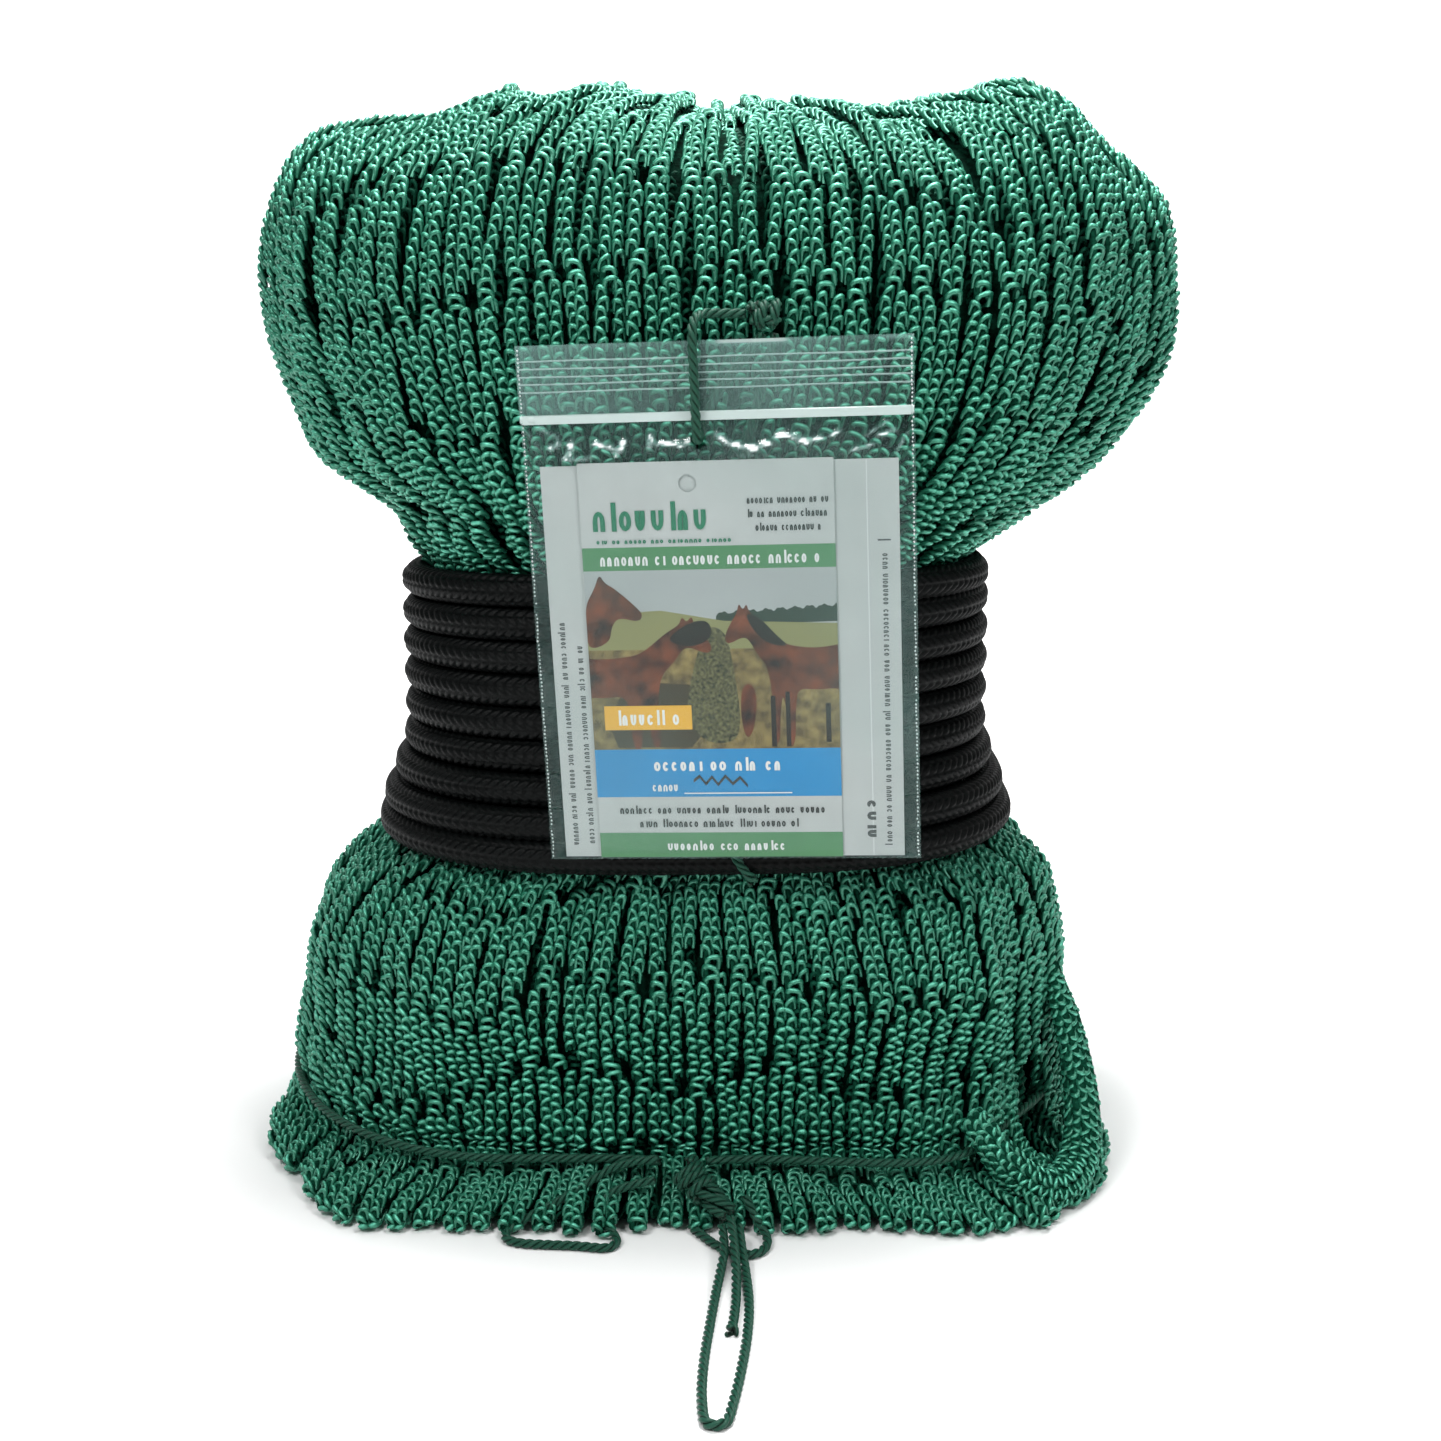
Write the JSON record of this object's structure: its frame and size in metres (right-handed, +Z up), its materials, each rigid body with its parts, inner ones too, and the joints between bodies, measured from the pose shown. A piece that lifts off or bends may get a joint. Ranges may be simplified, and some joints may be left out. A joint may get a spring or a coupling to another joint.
{
  "type": "hay net",
  "caption": "Packed netting hay net: a folded green bundle lashed at the waist with black rope and at the foot with a twine bow, with a clear pouch holding a card and leaflets.",
  "frame": {"origin": "centre of the bounding box in plan, on the floor (free twine left out)", "axes": "+Z up, -Y towards the front with the pouch, +X to the right seen from the front"},
  "size_m": [0.3839, 0.4001, 0.441],
  "materials": {
    "netting": "glossy knitted nylon",
    "rope": "braided",
    "twine": "twisted",
    "film": "clear film",
    "zip": "translucent",
    "card": "printed",
    "paper": "matt"
  },
  "bodies": {
    "bundle": {"net_crown": "netting", "net_waist": "netting", "net_skirt": "netting", "net_hem": "netting", "net_side_fold": "netting", "rope_coil": "rope", "belt_twine": "twine", "bow_knot": "twine", "bow_loop_left": "twine", "bow_loop_right": "twine", "bow_loop_long": "twine", "bow_tail": "twine", "hanger_knot": "twine", "hanger_tail": "twine"},
    "pouch": {"hanger_loop": "twine", "pouch_back_film": "film", "pouch_front_film": "film", "zip_rib_strip": "zip", "zip_groove_strip": "zip"},
    "card": {"picture_card": "card"},
    "right_paper": {"leaflet_right": "paper"},
    "left_paper": {"leaflet_left": "paper"}
  },
  "joints": [
    {"name": "pouch_swing", "type": "hinge", "parent": "bundle", "child": "pouch", "pos_m": [0.0185, -0.12, 0.351], "axis": [-1, 0, 0], "range_deg": [0, 100]},
    {"name": "card_slide", "type": "slide", "parent": "pouch", "child": "card", "axis": [-0.042, -0.1007, 0.994], "range_m": [0, 0.004]},
    {"name": "leaflet_right_slide", "type": "slide", "parent": "pouch", "child": "right_paper", "axis": [-0.042, -0.1007, 0.994], "range_m": [0, 0.013]},
    {"name": "leaflet_left_slide", "type": "slide", "parent": "pouch", "child": "left_paper", "axis": [-0.042, -0.1007, 0.994], "range_m": [0, 0.006]}
  ]
}
